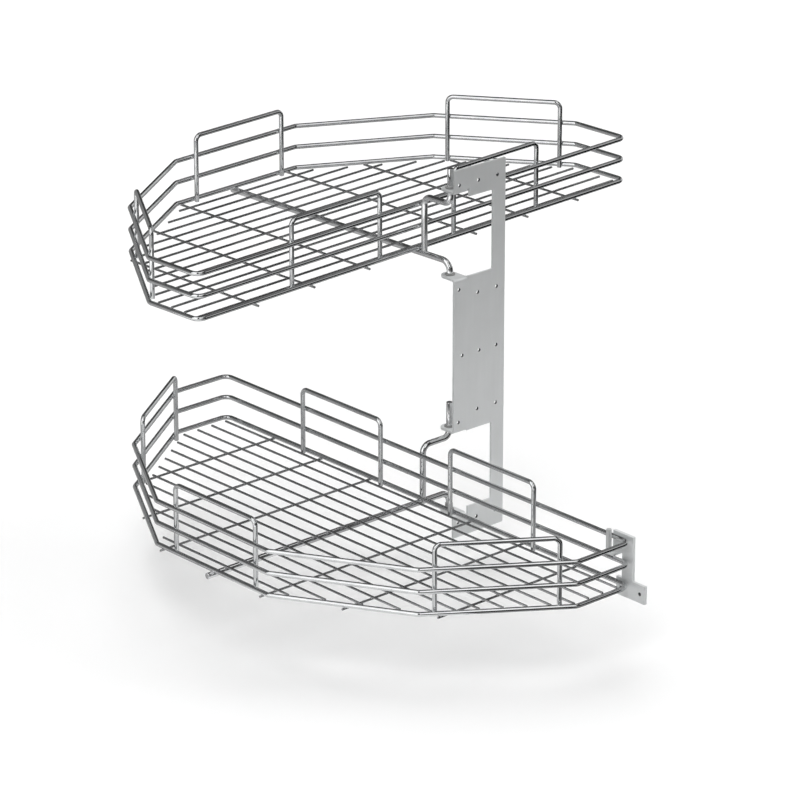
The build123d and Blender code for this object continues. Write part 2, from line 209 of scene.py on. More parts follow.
@dataclass(frozen=True)
class Wire:
    """A round wire bent in one plane: straight runs joined by arcs."""

    corners: tuple[Corner, ...]
    diameter: float
    bend: float | tuple[float, ...] = 0.0
    closed: bool = False
    sides: int = 24
    end_round: float = 0.4 * MM
    end_share: float = 0.3
    arc_degrees: float = 6.0
    least_arc_points: int = 3

    def centre_line(self) -> tuple[np.ndarray, np.ndarray]:
        """Points along the wire and the normal of the plane it lies in.

        Each corner becomes an arc tangent to its two runs: the arc of radius r about the point
        that lies r / cos(half the turn) from the corner, on the line that halves its angle.

        Returns:
            The centre points, one row each, and the plane's unit normal.
        """
        corners = np.array(self.corners, float)
        count = len(corners)
        inner = range(count) if self.closed else range(1, count - 1)
        radii = self.bend if isinstance(self.bend, tuple) else (self.bend,) * len(inner)
        rows = [] if self.closed else [corners[:1]]
        for index, radius in zip(inner, radii):
            before = corners[index] - corners[index - 1]
            after = corners[(index + 1) % count] - corners[index]
            before /= np.linalg.norm(before)
            after /= np.linalg.norm(after)
            turn = math.acos(float(np.clip(before @ after, -1.0, 1.0)))
            normal = np.cross(before, after)
            normal /= np.linalg.norm(normal)
            start = corners[index] - before * (radius * math.tan(turn / 2))
            side = np.cross(normal, before)
            arc_points = max(self.least_arc_points, round(math.degrees(turn) / self.arc_degrees) + 1)
            steps = np.linspace(0.0, turn, arc_points)[:, None]
            rows.append(start + radius * (np.sin(steps) * before + (1 - np.cos(steps)) * side))
        if not self.closed:
            rows.append(corners[-1:])
        if not inner:
            run = corners[1] - corners[0]
            normal = np.cross(run, np.eye(3)[int(np.argmin(np.abs(run)))])
            normal /= np.linalg.norm(normal)
        return np.concatenate(rows), normal

    def surface(self, place: Place) -> Surface:
        """Carry the wire's round section along its centre line.

        A point of the surface is centre + r (cos a n + sin a b), where b is the plane's normal,
        n = b x tangent, and a runs round the section.  At an open end r shrinks over a short
        rounded edge to a small flat disc.

        Args:
            place: where the basket stands.

        Returns:
            Points in the shelf's frame and quads.
        """
        centres, across = self.centre_line()
        radius = self.diameter / 2
        if self.closed:
            tangents = np.roll(centres, -1, axis=0) - np.roll(centres, 1, axis=0)
            radii = np.full(len(centres), radius)
        else:
            first = (centres[1] - centres[0]) / np.linalg.norm(centres[1] - centres[0])
            last = (centres[-1] - centres[-2]) / np.linalg.norm(centres[-1] - centres[-2])
            step = self.end_round * np.array([[0.0], [0.0], [self.end_share], [1.0]])
            cap = radius - np.array([radius, self.end_round, self.end_share * self.end_round, 0.0])
            head, tail = centres[0] + first * step, centres[-1] - last * step
            radii = np.concatenate([cap, np.full(len(centres) - 2, radius), cap[::-1]])
            centres = np.concatenate([head, centres[1:-1], tail[::-1]])
            tangents = np.gradient(centres, axis=0)
            tangents[:len(cap)] = first
            tangents[-len(cap):] = last
        tangents = tangents / np.linalg.norm(tangents, axis=1)[:, None]
        outward = np.cross(across, tangents)
        angle = np.linspace(0.0, 2 * math.pi, self.sides, endpoint=False)[None, :, None]
        section = np.cos(angle) * outward[:, None, :] + np.sin(angle) * across
        points = centres[:, None, :] + radii[:, None, None] * section
        quads = grid_quads(len(centres), self.sides, self.closed, True)
        return place.point(points.reshape(-1, 3)), quads


@dataclass(frozen=True)
class Bead:
    """A weld bead between two touching wires: a small flattened ball."""

    centre: Corner
    size: Corner
    around: int = 10
    levels: int = 7

    def surface(self, place: Place) -> Surface:
        """Work out the ball on a grid of bearing and height.

        A point is centre + size * (cos h cos a, cos h sin a, sin h) for bearing a and height h.

        Args:
            place: where the basket stands.

        Returns:
            Points in the shelf's frame and quads.
        """
        bearing = np.linspace(0.0, 2 * math.pi, self.around, endpoint=False)[None, :]
        height = np.linspace(-0.5 * math.pi, 0.5 * math.pi, self.levels)[:, None]
        unit = np.stack([np.cos(height) * np.cos(bearing), np.cos(height) * np.sin(bearing),
                         np.sin(height) * np.ones_like(bearing)], axis=-1)
        points = np.array(self.centre) + unit * np.array(self.size)
        return place.point(points.reshape(-1, 3)), grid_quads(self.levels, self.around, False, True)


# Finishes


def new_material(name: str) -> tuple[Material, Shader]:
    """Make an empty node material with one shader.

    Args:
        name: name of the material.

    Returns:
        The material and its main shader node.
    """
    material = bpy.data.materials.new(name)
    material.use_nodes = True
    shader = material.node_tree.nodes["Principled BSDF"]
    return material, shader


def add_node(owner: Owner, kind: str, **values: object) -> bpy.types.Node:
    """Add one node and set its properties.

    Args:
        owner: material or world that gets the node.
        kind: Blender's name of the node type.
        values: properties of the node by name.

    Returns:
        The node.
    """
    node = owner.node_tree.nodes.new(kind)
    for key, value in values.items():
        setattr(node, key, value)
    return node


def link(owner: Owner, source: Socket, target: Socket) -> None:
    """Join two sockets of a material or world."""
    owner.node_tree.links.new(source, target)


def spread(owner: Owner, source: Socket, to: Span, limits: Span = (0.0, 1.0)) -> Socket:
    """Map a value evenly from one range to another.

    Args:
        owner: material or world that gets the node.
        source: socket with the value.
        to: what the lower and the upper limit become.
        limits: the value's own range.

    Returns:
        The socket with the mapped value.
    """
    node = add_node(owner, "ShaderNodeMapRange")
    node.inputs["From Min"].default_value, node.inputs["From Max"].default_value = limits
    node.inputs["To Min"].default_value, node.inputs["To Max"].default_value = to
    link(owner, source, node.inputs["Value"])
    return node.outputs["Result"]


def noise(material: Material, scale: float, detail: float, stretch: Corner = (1.0, 1.0, 1.0)) -> Socket:
    """Noise on object coordinates.

    Args:
        material: material that gets the nodes.
        scale: spots per metre, roughly.
        detail: octaves of the noise.
        stretch: how much denser the noise is along each axis.

    Returns:
        The socket with a value from 0 to 1.
    """
    place = add_node(material, "ShaderNodeTexCoord")
    mapping = add_node(material, "ShaderNodeMapping")
    mapping.inputs["Scale"].default_value = stretch
    texture = add_node(material, "ShaderNodeTexNoise")
    texture.inputs["Scale"].default_value = scale
    texture.inputs["Detail"].default_value = detail
    link(material, place.outputs["Object"], mapping.inputs["Vector"])
    link(material, mapping.outputs["Vector"], texture.inputs["Vector"])
    return texture.outputs["Fac"]


def blend(material: Material, factor: Socket, low: Colour, high: Colour) -> Socket:
    """Mix two colours by a value.

    Args:
        material: material that gets the node.
        factor: socket with the value.
        low: colour where the value is 0 or less.
        high: colour where the value is 1 or more.

    Returns:
        The socket with the colour.
    """
    node = add_node(material, "ShaderNodeMix", data_type="RGBA")
    node.inputs["A"].default_value = low
    node.inputs["B"].default_value = high
    link(material, factor, node.inputs["Factor"])
    return node.outputs["Result"]


def roughen(material: Material, shader: Shader, height: Socket, strength: float, depth: float) -> None:
    """Raise and lower the surface by a value.

    Args:
        material: material that gets the node.
        shader: its main shader node.
        height: socket with the value.
        strength: share of the bumps that shows.
        depth: height of the bumps in metres.
    """
    node = add_node(material, "ShaderNodeBump")
    node.inputs["Strength"].default_value = strength
    node.inputs["Distance"].default_value = depth
    link(material, height, node.inputs["Height"])
    link(material, node.outputs["Normal"], shader.inputs["Normal"])


def seen_directly(owner: Owner) -> Socket:
    """Tell rays of the camera and of reflections from the rest of the light.

    Args:
        owner: material or world that gets the nodes.

    Returns:
        The socket, with 1 for those rays and 0 for others.
    """
    path = add_node(owner, "ShaderNodeLightPath")
    seen = add_node(owner, "ShaderNodeMath", operation="MAXIMUM")
    link(owner, path.outputs["Is Camera Ray"], seen.inputs[0])
    link(owner, path.outputs["Is Glossy Ray"], seen.inputs[1])
    return seen.outputs["Value"]


@dataclass(frozen=True)
class ChromePlating:
    """Bright plating on drawn wire: mirror-like, with faint cloudiness and drawing marks."""

    name: str = "chrome_plating"
    light: Colour = (0.76, 0.77, 0.775, 1.0)
    dull: Colour = (0.60, 0.61, 0.62, 1.0)
    smooth_roughness: float = 0.01
    dull_roughness: float = 0.16
    ripple: float = 0.02 * MM
    ripple_strength: float = 0.25
    cloud_scale: float = 38.0
    cloud_detail: float = 4.0
    cloud_contrast: Span = (-0.4, 1.9)
    grain_scale: float = 900.0
    grain_detail: float = 2.0

    def material(self) -> Material:
        """Build the plating's nodes.

        Returns:
            The material.
        """
        material, shader = new_material(self.name)
        cloud = noise(material, self.cloud_scale, self.cloud_detail)
        grain = noise(material, self.grain_scale, self.grain_detail)
        colour = blend(material, spread(material, cloud, self.cloud_contrast), self.dull, self.light)
        rough = spread(material, cloud, (self.dull_roughness, self.smooth_roughness))
        link(material, colour, shader.inputs["Base Color"])
        link(material, rough, shader.inputs["Roughness"])
        roughen(material, shader, grain, self.ripple_strength, self.ripple)
        shader.inputs["Metallic"].default_value = 1.0
        return material


@dataclass(frozen=True)
class SheetCoating:
    """Satin grey coating on sheet steel: fine orange peel, faint handling marks, painted shade towards the
    top.
    """

    name: str
    light: Colour
    shade: Colour
    roughness: Span = (0.34, 0.52)
    metal: float = 0.35
    peel: float = 0.03 * MM
    peel_strength: float = 0.3
    peel_scale: float = 1400.0
    peel_detail: float = 2.0
    cloud_scale: float = 22.0
    cloud_detail: float = 5.0
    cloud_contrast: Span = (-0.3, 0.9)
    brush_scale: float = 160.0
    brush_detail: float = 3.0
    brush_stretch: Corner = (1.0, 1.0, 0.06)
    brush_contrast: Span = (-0.2, 0.6)
    painted_shade_heights: Span = (-60.0 * MM, 225.0 * MM)
    painted_shade_top: float = 1.0

    def material(self) -> Material:
        """Build the coating's nodes.

        The colour is lighter than its base by noise, and painted shade darkens it evenly along the height,
        towards the top.

        Returns:
            The material.
        """
        material, shader = new_material(self.name)
        cloud = noise(material, self.cloud_scale, self.cloud_detail)
        brushed = noise(material, self.brush_scale, self.brush_detail, self.brush_stretch)
        peel = noise(material, self.peel_scale, self.peel_detail)
        mixed = add_node(material, "ShaderNodeMath", operation="ADD")
        link(material, spread(material, cloud, self.cloud_contrast), mixed.inputs[0])
        link(material, spread(material, brushed, self.brush_contrast), mixed.inputs[1])
        colour = blend(material, mixed.outputs["Value"], self.shade, self.light)
        place = add_node(material, "ShaderNodeTexCoord")
        split = add_node(material, "ShaderNodeSeparateXYZ")
        link(material, place.outputs["Object"], split.inputs["Vector"])
        # Painted shade: the colour is scaled from full at the lower height down to the given share at the
        # upper one.
        painted_shade = spread(material, split.outputs["Z"], (1.0, self.painted_shade_top), self.painted_shade_heights)
        shaded_colour = add_node(material, "ShaderNodeVectorMath", operation="SCALE")
        link(material, colour, shaded_colour.inputs["Vector"])
        link(material, painted_shade, shaded_colour.inputs["Scale"])
        link(material, shaded_colour.outputs["Vector"], shader.inputs["Base Color"])
        link(material, spread(material, brushed, self.roughness), shader.inputs["Roughness"])
        roughen(material, shader, peel, self.peel_strength, self.peel)
        shader.inputs["Metallic"].default_value = self.metal
        return material


@dataclass(frozen=True)
class MouldedNylon:
    """Grey moulded nylon of the hinge bushes: matt, slightly mottled."""

    name: str = "bush_nylon"
    light: Colour = (0.31, 0.31, 0.305, 1.0)
    shade: Colour = (0.25, 0.25, 0.245, 1.0)
    roughness: Span = (0.45, 0.65)
    mottle_scale: float = 260.0
    mottle_detail: float = 4.0
    grain_scale: float = 2600.0
    grain_detail: float = 1.0
    grain_depth: float = 0.05 * MM
    grain_strength: float = 0.3

    def material(self) -> Material:
        """Build the nylon's nodes.

        Returns:
            The material.
        """
        material, shader = new_material(self.name)
        mottle = noise(material, self.mottle_scale, self.mottle_detail)
        grain = noise(material, self.grain_scale, self.grain_detail)
        link(material, blend(material, mottle, self.shade, self.light), shader.inputs["Base Color"])
        link(material, spread(material, mottle, self.roughness), shader.inputs["Roughness"])
        roughen(material, shader, grain, self.grain_strength, self.grain_depth)
        return material


RING_PLATING = ChromePlating()
# The arms carry the rings' plating as a lighter, glossier copy: painted highlight.
ARM_PLATING_PAINTED_HIGHLIGHT = ChromePlating(
    "chrome_arm_plating_painted_highlight", (0.80, 0.805, 0.81, 1.0), (0.66, 0.665, 0.67, 1.0),
    smooth_roughness=0.0, dull_roughness=0.1)
# The floor and cross wires carry the rings' plating as a much darker copy: painted shade.
FLOOR_PLATING_PAINTED_SHADE = ChromePlating(
    "chrome_floor_plating_painted_shade", (0.44, 0.445, 0.45, 1.0), (0.33, 0.335, 0.34, 1.0),
    smooth_roughness=0.05, dull_roughness=0.2)
WELD_SKIN = ChromePlating(
    "weld_beads", (0.6, 0.605, 0.61, 1.0), (0.42, 0.42, 0.43, 1.0),
    smooth_roughness=0.17, dull_roughness=0.4, ripple=0.1 * MM)
# Plate coating with painted shade: its colour falls evenly from full at z -60 mm to 70% at z 225 mm.
PLATE_COATING_AND_PAINTED_SHADE = SheetCoating(
    "plate_coating_and_painted_shade", (0.775, 0.79, 0.793, 1.0), (0.71, 0.724, 0.727, 1.0), metal=0.15, painted_shade_top=0.7)
# Inside the screw holes: bare punched steel, made near black by painted shade in the holes.
PUNCHED_EDGE_AND_SHADE = SheetCoating(
    "punched_edge_and_painted_shade", (0.10, 0.10, 0.105, 1.0), (0.06, 0.06, 0.065, 1.0),
    roughness=(0.42, 0.6), metal=0.6, peel=0.06 * MM)
PIN_STEEL = SheetCoating(
    "turned_pin_steel", (0.66, 0.67, 0.67, 1.0), (0.56, 0.57, 0.57, 1.0),
    roughness=(0.24, 0.42), metal=0.3)


# Sub-assemblies

GUARD_BEAD: Corner = (1.5 * MM, 1.5 * MM, 2.2 * MM)
ROD_BEAD: Corner = (1.7 * MM, 1.7 * MM, 0.9 * MM)
RING_BEAD: Corner = (1.8 * MM, 1.8 * MM, 0.9 * MM)
STRUT_BEAD: Corner = (2.4 * MM, 1.2 * MM, 2.4 * MM)
STRUT_FOOT_BEAD: Corner = (3.4 * MM, 4.3 * MM, 1.2 * MM)
SUPPORT_BEAD: Corner = (2.4 * MM, 2.4 * MM, 1.0 * MM)


@dataclass(frozen=True)
class WireFinishes:
    """The materials of a basket's wires and welds."""

    rings: Material
    arms: Material
    floor: Material
    welds: Material


@dataclass
class Basket:
    """One wire basket: three rings, five guards, a wire floor, two arms and their welds."""

    prefix: str
    body: Body
    place: Place
    finishes: WireFinishes
    rail_length: float = 750.0 * MM
    end_depth: float = 87.0 * MM
    slant_half_width: float = 267.0 * MM
    slant_depth: float = 243.0 * MM
    back_length: float = 210.0 * MM
    depth: float = 338.0 * MM
    ring_pitch: float = 28.65 * MM
    ring_bend: float = 11.0 * MM
    ring_wire: float = 6.0 * MM
    guard_wire: float = 6.0 * MM
    arm_wire: float = 8.0 * MM
    floor_wire: float = 3.0 * MM
    weld_gap: float = 0.05 * MM
    guard_rise: float = 29.0 * MM
    guard_bend: float = 8.0 * MM
    guard_foot: float = 2.5 * MM
    rail_guard_width: float = 150.0 * MM
    rail_guard_spacing: float = 280.0 * MM
    slant_guard_inset: float = 20.0 * MM
    back_guard_inset: float = 30.0 * MM
    floor_pitch: float = 23.6 * MM
    floor_clearance: float = 0.4 * MM
    floor_sides: int = 12
    floor_round: float = 0.3 * MM
    cross_pitch: float = 94.0 * MM
    cross_each_side: int = 3
    cross_front: float = 6.0 * MM
    cross_back: float = 4.5 * MM
    pivot_to_rail: float = 52.0 * MM
    support_bend: float = 13.0 * MM
    support_pin_drop: float = 20.0 * MM
    support_overhang: float = 8.0 * MM
    hinge_elbow: float = 11.0 * MM
    hinge_bend: float = 10.0 * MM
    hinge_arm_rise: float = 11.3 * MM
    hinge_pin_length: float = 46.7 * MM
    arm_sides: int = 32
    pin_round: float = 0.4 * MM
    weld_places: list[Bead] = field(default_factory=list)

    @property
    def base_z(self) -> float:
        """Height of the base ring under the rim."""
        return -2 * self.ring_pitch

    @property
    def levels(self) -> dict[str, float]:
        """Heights of the three rings, from the rim down."""
        return {"rim": 0.0, "middle": -self.ring_pitch, "base": self.base_z}

    @property
    def weld_plane(self) -> float:
        """Height of the plane where floor wires lie on cross wires."""
        return self.base_z - self.ring_wire / 2

    @property
    def floor_z(self) -> float:
        """Height of the floor wires' centres."""
        return self.weld_plane + self.floor_wire / 2

    @property
    def cross_z(self) -> float:
        """Height of the cross wires' centres."""
        return self.weld_plane - self.weld_gap - self.floor_wire / 2

    @property
    def arm_z(self) -> float:
        """Height of the support arm's centre."""
        return self.weld_plane - self.weld_gap - self.arm_wire / 2

    @property
    def cross_offsets(self) -> list[float]:
        """Distances of the cross wires from the basket's middle."""
        steps = range(1, self.cross_each_side + 1)
        return [side * step * self.cross_pitch for step in steps for side in (-1, 1)]

    def outline(self) -> list[Span]:
        """Corners of the basket seen from above, away from the axis by the pivot distance.

        Returns:
            Places along the rail and away from the axis, from the rail's left end round.
        """
        half, slant, back = self.rail_length / 2, self.slant_half_width, self.back_length / 2
        shape = [(-half, 0.0), (-half, self.end_depth), (-slant, self.slant_depth), (-back, self.depth),
                 (back, self.depth), (slant, self.slant_depth), (half, self.end_depth), (half, 0.0)]
        return [(x, y + self.pivot_to_rail) for x, y in shape]

    def right_half(self) -> list[Span]:
        """Corners of the outline from the back's right end to the rail's, with depths from the rail."""
        return [(x, y - self.pivot_to_rail) for x, y in self.outline()][Side.BACK + 1:]

    def finish_piece(self, name: str, node: str, wires: list[Wire], material: Material) -> None:
        """Build wires as one piece that stands for a solid.

        Args:
            name: name of the piece without the basket's prefix.
            node: name of the solid without the basket's prefix.
            wires: the wires of the piece.
            material: its finish.
        """
        points, quads = join_surfaces([wire.surface(self.place) for wire in wires])
        piece = add_mesh(f"{self.prefix}_{name}", points, quads)
        piece.data.materials.append(material)
        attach(piece, self.body.value)
        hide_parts(f"{self.prefix}_{node}")
        LOG.info("%s: %d faces", piece.name, len(quads))

    def rings(self) -> None:
        """Build the three closed rings, one of them at each level of the outline."""
        for level, height in self.levels.items():
            corners = tuple((x, y, height) for x, y in self.outline())
            ring = Wire(corners, self.ring_wire, self.ring_bend, closed=True)
            self.finish_piece(f"{level}_ring", f"{level}_wire", [ring], self.finishes.rings)

    def guard_run(self, side: Side) -> tuple[np.ndarray, np.ndarray, np.ndarray, float]:
        """One side of the outline, moved inwards to where a guard's legs stand.

        Args:
            side: which side it is.

        Returns:
            The middle of the run, its direction, the way inwards and its length.
        """
        shape = np.array(self.outline())
        first, last = shape[side], shape[(side + 1) % len(shape)]
        length = float(np.linalg.norm(last - first))
        run = (last - first) / length
        inward = np.array([run[1], -run[0]])
        offset = (self.ring_wire + self.guard_wire) / 2 + self.weld_gap
        return (first + last) / 2 + inward * offset, run, inward, length

    def guard(self, name: str, side: Side, shift: float = 0.0, width: float | None = None,
              inset: float = 0.0) -> None:
        """Build one guard hoop and note the welds where its legs touch the rings.

        Args:
            name: which guard it is, as in its solid's name.
            side: which side of the outline it stands on.
            shift: how far the hoop stands from the middle of that side.
            width: distance between its legs, or nothing for the side's length less the insets.
            inset: distance from the side's corners to the legs where no width is given.
        """
        middle, run, inward, length = self.guard_run(side)
        half = (width if width is not None else length - 2 * inset) / 2
        foot, top = self.base_z - self.guard_foot, self.guard_rise
        left, right = [middle + run * (shift + way * half) for way in (-1, 1)]
        corners = ((*left, foot), (*left, top), (*right, top), (*right, foot))
        hoop = Wire(corners, self.guard_wire, self.guard_bend)
        self.finish_piece(f"hoop_{name}", f"guard_{name}", [hoop], self.finishes.rings)
        for leg in (left, right):
            spot = leg - inward * self.guard_wire / 2
            self.weld_places += [Bead((*spot, height), GUARD_BEAD) for height in self.levels.values()]

    def guards(self) -> None:
        """Build the five guards."""
        shift = self.rail_guard_spacing / 2
        self.guard("rail_right", Side.RAIL, -shift, width=self.rail_guard_width)
        self.guard("rail_left", Side.RAIL, shift, width=self.rail_guard_width)
        self.guard("slant_left", Side.SLANT_LEFT, inset=self.slant_guard_inset)
        self.guard("back", Side.BACK, inset=self.back_guard_inset)
        self.guard("slant_right", Side.SLANT_RIGHT, inset=self.slant_guard_inset)

    def reach_along(self, depth: float, inset: float) -> float:
        """Half length of a floor wire at a depth behind the rail.

        It is the least distance from the middle at which the wire, on its way out, comes within
        the inset, square to a side, of any side of the outline's right half.

        Args:
            depth: distance behind the rail.
            inset: clearance to the ring's centre line.

        Returns:
            The half length.
        """
        shape = self.right_half()
        ends = []
        for (x1, y1), (x2, y2) in zip(shape[:-1], shape[1:]):
            length = math.hypot(x2 - x1, y2 - y1)
            ends.append(x1 + ((y1 - depth) * (x2 - x1) / length - inset) * length / (y1 - y2))
        return min(ends)

    def far_edge(self, offset: float) -> float:
        """Depth of the outline's far side at a distance from the basket's middle.

        It is the least of the back's depth and the depths of the two slanted sides' lines there.

        Args:
            offset: distance from the middle.

        Returns:
            The depth behind the rail.
        """
        shape = self.right_half()[:-1]
        depths = [self.depth]
        for (x1, y1), (x2, y2) in zip(shape[:-1], shape[1:]):
            depths.append(y1 + (offset - x1) * (y2 - y1) / (x2 - x1))
        return min(depths)

    def rod(self, start: Corner, end: Corner) -> Wire:
        """One straight thin wire of the floor."""
        return Wire((start, end), self.floor_wire, sides=self.floor_sides, end_round=self.floor_round)

    def floor_rods(self) -> None:
        """Build the floor wires, with a weld on each cross wire and on the support arm."""
        radius = self.floor_wire / 2
        gap = self.ring_wire / 2 + self.weld_gap + self.guard_wire + self.floor_clearance
        first = gap + radius
        count = int((self.depth - 2 * first) // self.floor_pitch) + 1
        wires = []
        for index in range(count):
            depth = first + index * self.floor_pitch
            half = min(self.reach_along(depth - radius, gap), self.reach_along(depth + radius, gap))
            away = self.pivot_to_rail + depth
            wires.append(self.rod((-half, away, self.floor_z), (half, away, self.floor_z)))
            self.weld_places += [Bead((offset, away, self.weld_plane), ROD_BEAD)
                                 for offset in [*self.cross_offsets, 0.0] if abs(offset) < half]
        self.finish_piece("floor_rods", "floor_wires", wires, self.finishes.floor)

    def cross_rods(self) -> None:
        """Build the cross wires under the floor wires, with a weld at either end."""
        front = self.pivot_to_rail - self.cross_front
        wires = []
        for offset in self.cross_offsets:
            back = self.pivot_to_rail + self.far_edge(abs(offset)) + self.cross_back
            wires.append(self.rod((offset, front, self.cross_z), (offset, back, self.cross_z)))
            self.weld_places += [Bead((offset, away, self.weld_plane), RING_BEAD)
                                 for away in (self.pivot_to_rail, back - self.cross_back)]
        self.finish_piece("cross_rods", "cross_wires", wires, self.finishes.floor)

    def arm(self, name: str, node: str, corners: tuple[Corner, ...], bends: tuple[float, ...]) -> None:
        """Build one bent rod that ends in a pin.

        Args:
            name: name of the piece without the basket's prefix.
            node: name of the solid without the basket's prefix.
            corners: places of its ends and bends.
            bends: radius of each bend.
        """
        rod = Wire(corners, self.arm_wire, bends, sides=self.arm_sides, end_round=self.pin_round)
        self.finish_piece(name, node, [rod], self.finishes.arms)

    def arms(self) -> None:
        """Build the support arm and the hinge arm with their bent pins, and note their welds."""
        back = self.pivot_to_rail + self.depth
        corners = ((0.0, back + self.support_overhang, self.arm_z), (0.0, 0.0, self.arm_z),
                   (0.0, 0.0, self.arm_z - self.support_pin_drop))
        self.arm("support_rod", "support_arm", corners, (self.support_bend,))
        strut = self.pivot_to_rail - (self.ring_wire + self.arm_wire) / 2 - self.weld_gap
        level = self.hinge_arm_rise
        corners = ((0.0, strut, self.weld_plane), (0.0, strut, level), (0.0, 0.0, level),
                   (0.0, 0.0, level + self.hinge_pin_length))
        self.arm("hinge_rod", "hinge_arm", corners, (self.hinge_elbow, self.hinge_bend))
        touch = strut + self.arm_wire / 2
        self.weld_places += [Bead((0.0, touch, height), STRUT_BEAD) for height in self.levels.values()]
        self.weld_places += [Bead((0.0, strut, self.weld_plane), STRUT_FOOT_BEAD),
                             Bead((0.0, back, self.weld_plane), SUPPORT_BEAD)]

    def welds(self) -> None:
        """Build all weld beads as one piece."""
        points, quads = join_surfaces([bead.surface(self.place) for bead in self.weld_places])
        piece = add_mesh(f"{self.prefix}_weld_beads", points, quads)
        piece.data.materials.append(self.finishes.welds)
        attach(piece, self.body.value)
        LOG.info("%s: %d beads", piece.name, len(self.weld_places))

    def build(self) -> None:
        """Build the whole basket."""
        self.rings()
        self.guards()
        self.floor_rods()
        self.cross_rods()
        self.arms()
        self.welds()


@dataclass(frozen=True)
class SheetPart:
    """A punched sheet part: its solid, its piece, what it moves with and its screw holes.

    The holes run along the axis "across", and their places in the plane square to it are in
    millimetres.
    """

    node: str
    name: str
    body: Body
    across: Axis
    holes: tuple[Span, ...]
    wall_slope: float = 0.3

    def hole_walls(self, mesh: bpy.types.Mesh, radius: float) -> np.ndarray:
        """Find the faces inside the screw holes.

        A face is a wall where its middle lies within the radius of a hole's axis and its normal
        is square to that axis.

        Args:
            mesh: the part's mesh, with at least one face.
            radius: the holes' radius and a little more.

        Returns:
            A flag for each face.
        """
        count = len(mesh.polygons)
        middles, normals = np.empty(count * 3), np.empty(count * 3)
        mesh.polygons.foreach_get("center", middles)
        mesh.polygons.foreach_get("normal", normals)
        middles, normals = middles.reshape(-1, 3), normals.reshape(-1, 3)
        flat = np.delete(middles, self.across, axis=1)
        gaps = np.linalg.norm(flat[:, None, :] - np.array(self.holes)[None, :, :] * MM, axis=2)
        return (gaps.min(axis=1) < radius) & (np.abs(normals[:, self.across]) < self.wall_slope)


TAB_HOLES = tuple((x, z) for x in (-3.0, 29.0, 61.0) for z in (225.0, -225.0))
MIDDLE_HOLES = tuple((x, z) for x in (29.0, 61.0) for z in (78.0, -78.0)) + ((-3.0, 88.6), (-3.0, -88.6))
CENTRE_HOLES = ((3.0, 0.0), (32.0, 0.0), (61.0, 0.0))
FOOT_HOLES = ((-370.0, -189.1), (-338.0, -189.1))
WALL_PLATE = SheetPart(
    "mounting_plate", "wall_plate", Body.MOUNTING, Axis.Y, TAB_HOLES + MIDDLE_HOLES + CENTRE_HOLES)
DOOR_PLATE = SheetPart("door_bracket", "door_plate", Body.SLIDER, Axis.X, FOOT_HOLES)


@dataclass
class Fittings:
    """The bent sheet parts with their edges rounded by the coating, the pin and the bushes."""

    edge_round: float = 0.35 * MM
    edge_steps: int = 2
    edge_angle: float = 35.0
    flat_angle: float = 0.5
    hole_reach: float = 2.6 * MM
    flat_weight: int = 100
    sheets: tuple[SheetPart, ...] = (WALL_PLATE, DOOR_PLATE)
    pins: tuple[str, ...] = ("guide_pin",)
    bushes: tuple[str, ...] = ("upper_seat_bush", "upper_hinge_bush", "lower_seat_bush", "lower_hinge_bush")

    def dress(self, names: tuple[str, ...], material: Material) -> None:
        """Give each named solid one finish.

        Args:
            names: names of the solids.
            material: their finish.
        """
        for name in names:
            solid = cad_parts[name]
            solid.data.materials.clear()
            solid.data.materials.append(material)
            LOG.info("%s: %s", name, material.name)

    def round_edges(self, piece: bpy.types.Object) -> None:
        """Round a sheet's sharp edges, and keep its flat faces evenly shaded.

        Args:
            piece: the sheet part.
        """
        rounding = piece.modifiers.new("rounded_edges", "BEVEL")
        rounding.width = self.edge_round
        rounding.segments = self.edge_steps
        rounding.limit_method = "ANGLE"
        rounding.angle_limit = math.radians(self.edge_angle)
        rounding.use_clamp_overlap = False
        evening = piece.modifiers.new("flat_faces_stay_flat", "WEIGHTED_NORMAL")
        evening.mode = "FACE_AREA"
        evening.weight = self.flat_weight

    def sheet_part(self, part: SheetPart, coating: Material, bare_and_shade: Material) -> None:
        """Build a sheet part as its solid's own shape with every sharp edge rounded.

        Args:
            part: which part it is.
            coating: finish of the sheet, with painted shade darker towards the top.
            bare_and_shade: finish inside the screw holes, bare punched steel made much darker by painted
                shade.
        """
        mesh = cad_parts[part.node].data.copy()
        mesh.name = part.name
        close_doubles(mesh, math.radians(self.flat_angle))
        mesh.polygons.foreach_set("use_smooth", np.ones(len(mesh.polygons), bool))
        mesh.materials.clear()
        mesh.materials.append(coating)
        mesh.materials.append(bare_and_shade)
        walls = part.hole_walls(mesh, self.hole_reach)
        mesh.polygons.foreach_set("material_index", walls.astype(np.int32))
        piece = link_object(part.name, mesh)
        self.round_edges(piece)
        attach(piece, part.body.value)
        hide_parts(part.node)
        LOG.info("%s: %d faces, %d of them in holes", part.name, len(mesh.polygons), int(walls.sum()))

    def build(self) -> None:
        """Build the sheet parts, and dress the pin and the bushes."""
        coating = PLATE_COATING_AND_PAINTED_SHADE.material()
        bare_and_shade = PUNCHED_EDGE_AND_SHADE.material()
        for part in self.sheets:
            self.sheet_part(part, coating, bare_and_shade)
        self.dress(self.pins, PIN_STEEL.material())
        self.dress(self.bushes, MouldedNylon().material())


# Studio


@dataclass(frozen=True)
class Lamp:
    """An even lamp.

    Its bearing is where the light comes from, in degrees right of the camera's own bearing, and
    its height is in degrees above the horizon.  The wider it is, in degrees, the softer its
    shadows are.
    """

    name: str
    bearing: float
    height: float
    strength: float
    width: float


@dataclass(frozen=True)
class Card:
    """A card that only reflections see.

    Its bearings are in degrees right of the camera's own.  Its reach is a range of heights in
    degrees above the horizon for a card overhead, and of radii in metres for one on the floor.
    The offset says how far it is in front of the roof, or above the floor.
    """

    name: str
    bearings: Span
    reach: Span
    grey: float
    offset: float


ROUND: Span = (0.0, 360.0)
WINDOW = 0.2
RING = 1 * MM
STRIP = 3 * MM

